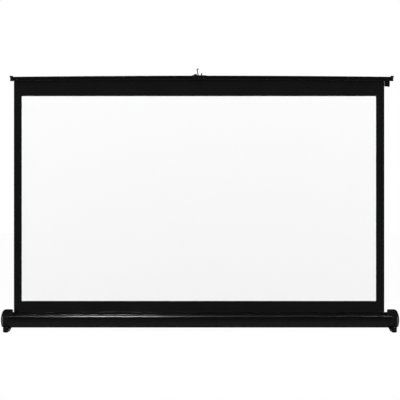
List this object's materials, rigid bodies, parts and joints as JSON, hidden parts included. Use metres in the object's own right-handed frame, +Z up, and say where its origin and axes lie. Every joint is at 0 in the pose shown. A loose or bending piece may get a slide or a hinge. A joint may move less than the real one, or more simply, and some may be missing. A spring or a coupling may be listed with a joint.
{
  "type": "tabletop projection screen",
  "caption": "Tabletop projection screen: a white sheet pulls up from a spring roller in a low case to a top bar on a folding pole, on four swing-out legs.",
  "frame": {"origin": "on the table, below the middle of the case: the centre of the underside of the whole open screen", "axes": "+X along the case to the viewer's right, -Y towards the viewer, +Z up"},
  "size_m": [1.2446, 0.22, 0.8247],
  "materials": {
    "case_black": "satin black anodised extrusion",
    "cap_plastic": "fine-grained black moulding",
    "blackened_steel": "black zinc-plated steel",
    "bright_steel": "turned or drawn, zinc-plated",
    "spring_steel": "oiled spring steel",
    "plain_aluminium": "drawn tube, satin",
    "slip_plastic": "natural acetal, smooth",
    "insert_brass": "turned and knurled",
    "screen_white": "matt white coated cloth with black borders and a black back",
    "screen_black": "matt black coated cloth",
    "rubber_black": "moulded soft black rubber"
  },
  "bodies": {
    "base": {"case_tube": "case_black", "left_end_cap": "cap_plastic", "right_end_cap": "cap_plastic", "cap_screws": "blackened_steel", "spring_shaft": "bright_steel", "spring_collar": "spring_steel", "idler_pin": "bright_steel", "screen_sheet": "screen_white", "pole_bracket": "blackened_steel", "bracket_screws": "blackened_steel", "pole_bolt": "bright_steel", "pole_nut": "bright_steel", "pole_rest": "cap_plastic", "rest_screws": "blackened_steel", "leg_screws": "bright_steel", "leg_washers": "bright_steel"},
    "roller": {"roller_tube": "plain_aluminium", "wound_fabric": "screen_black", "left_roller_plug": "slip_plastic", "right_roller_plug": "slip_plastic", "torsion_spring": "spring_steel", "drive_plug": "slip_plastic"},
    "bar": {"top_bar": "case_black", "hem_rod": "bright_steel", "left_bar_cap": "cap_plastic", "right_bar_cap": "cap_plastic", "closing_tongue": "cap_plastic", "bar_catch": "cap_plastic", "catch_screws": "blackened_steel", "clamp_insert": "insert_brass"},
    "clamp": {"clamp_screw": "bright_steel", "clamp_pad": "slip_plastic", "clamp_lever": "bright_steel", "lever_tip": "rubber_black"},
    "pole_lower": {"pole_foot": "cap_plastic", "pole_lower_tube": "plain_aluminium", "pole_slider": "slip_plastic"},
    "pole_upper": {"pole_upper_tube": "case_black", "pole_guide": "slip_plastic", "pole_tip": "cap_plastic"},
    "front_left_foot": {"front_left_leg": "cap_plastic", "front_left_pad": "rubber_black"},
    "front_right_foot": {"front_right_leg": "cap_plastic", "front_right_pad": "rubber_black"},
    "rear_left_foot": {"rear_left_leg": "cap_plastic", "rear_left_pad": "rubber_black"},
    "rear_right_foot": {"rear_right_leg": "cap_plastic", "rear_right_pad": "rubber_black"}
  },
  "joints": [
    {"name": "screen_pull", "type": "slide", "parent": "base", "child": "bar", "axis": [0, 0, -1], "range_m": [0, 0.7195], "deforming": ["screen_sheet"]},
    {"name": "roller_spin", "type": "hinge", "parent": "base", "child": "roller", "pos_m": [0, 0.0058, 0.03315], "axis": [1, 0, 0], "range_deg": [0, 3100]},
    {"name": "clamp_turn", "type": "hinge", "parent": "bar", "child": "clamp", "pos_m": [0.005, 0.0493, 0.7852], "axis": [0, -1, 0], "range_deg": [0, 90]},
    {"name": "pole_fold", "type": "hinge", "parent": "base", "child": "pole_lower", "pos_m": [0.005, 0.036, 0.0332], "axis": [0, 1, 0], "range_deg": [0, 90]},
    {"name": "pole_slide", "type": "slide", "parent": "pole_lower", "child": "pole_upper", "axis": [0, 0, -1], "range_m": [0, 0.32]},
    {"name": "front_left_swing", "type": "hinge", "parent": "base", "child": "front_left_foot", "pos_m": [-0.6026, -0.0126, 0.01], "axis": [0, 0, 1], "range_deg": [0, 90]},
    {"name": "rear_left_swing", "type": "hinge", "parent": "base", "child": "rear_left_foot", "pos_m": [-0.6026, 0.0126, 0.01], "axis": [0, 0, -1], "range_deg": [0, 90]},
    {"name": "front_right_swing", "type": "hinge", "parent": "base", "child": "front_right_foot", "pos_m": [0.6026, -0.0126, 0.01], "axis": [0, 0, -1], "range_deg": [0, 90]},
    {"name": "rear_right_swing", "type": "hinge", "parent": "base", "child": "rear_right_foot", "pos_m": [0.6026, 0.0126, 0.01], "axis": [0, 0, 1], "range_deg": [0, 90]}
  ],
  "couplings": [
    {"joint": "roller_spin", "follows": "screen_pull", "rad_per_m": 74.07}
  ]
}
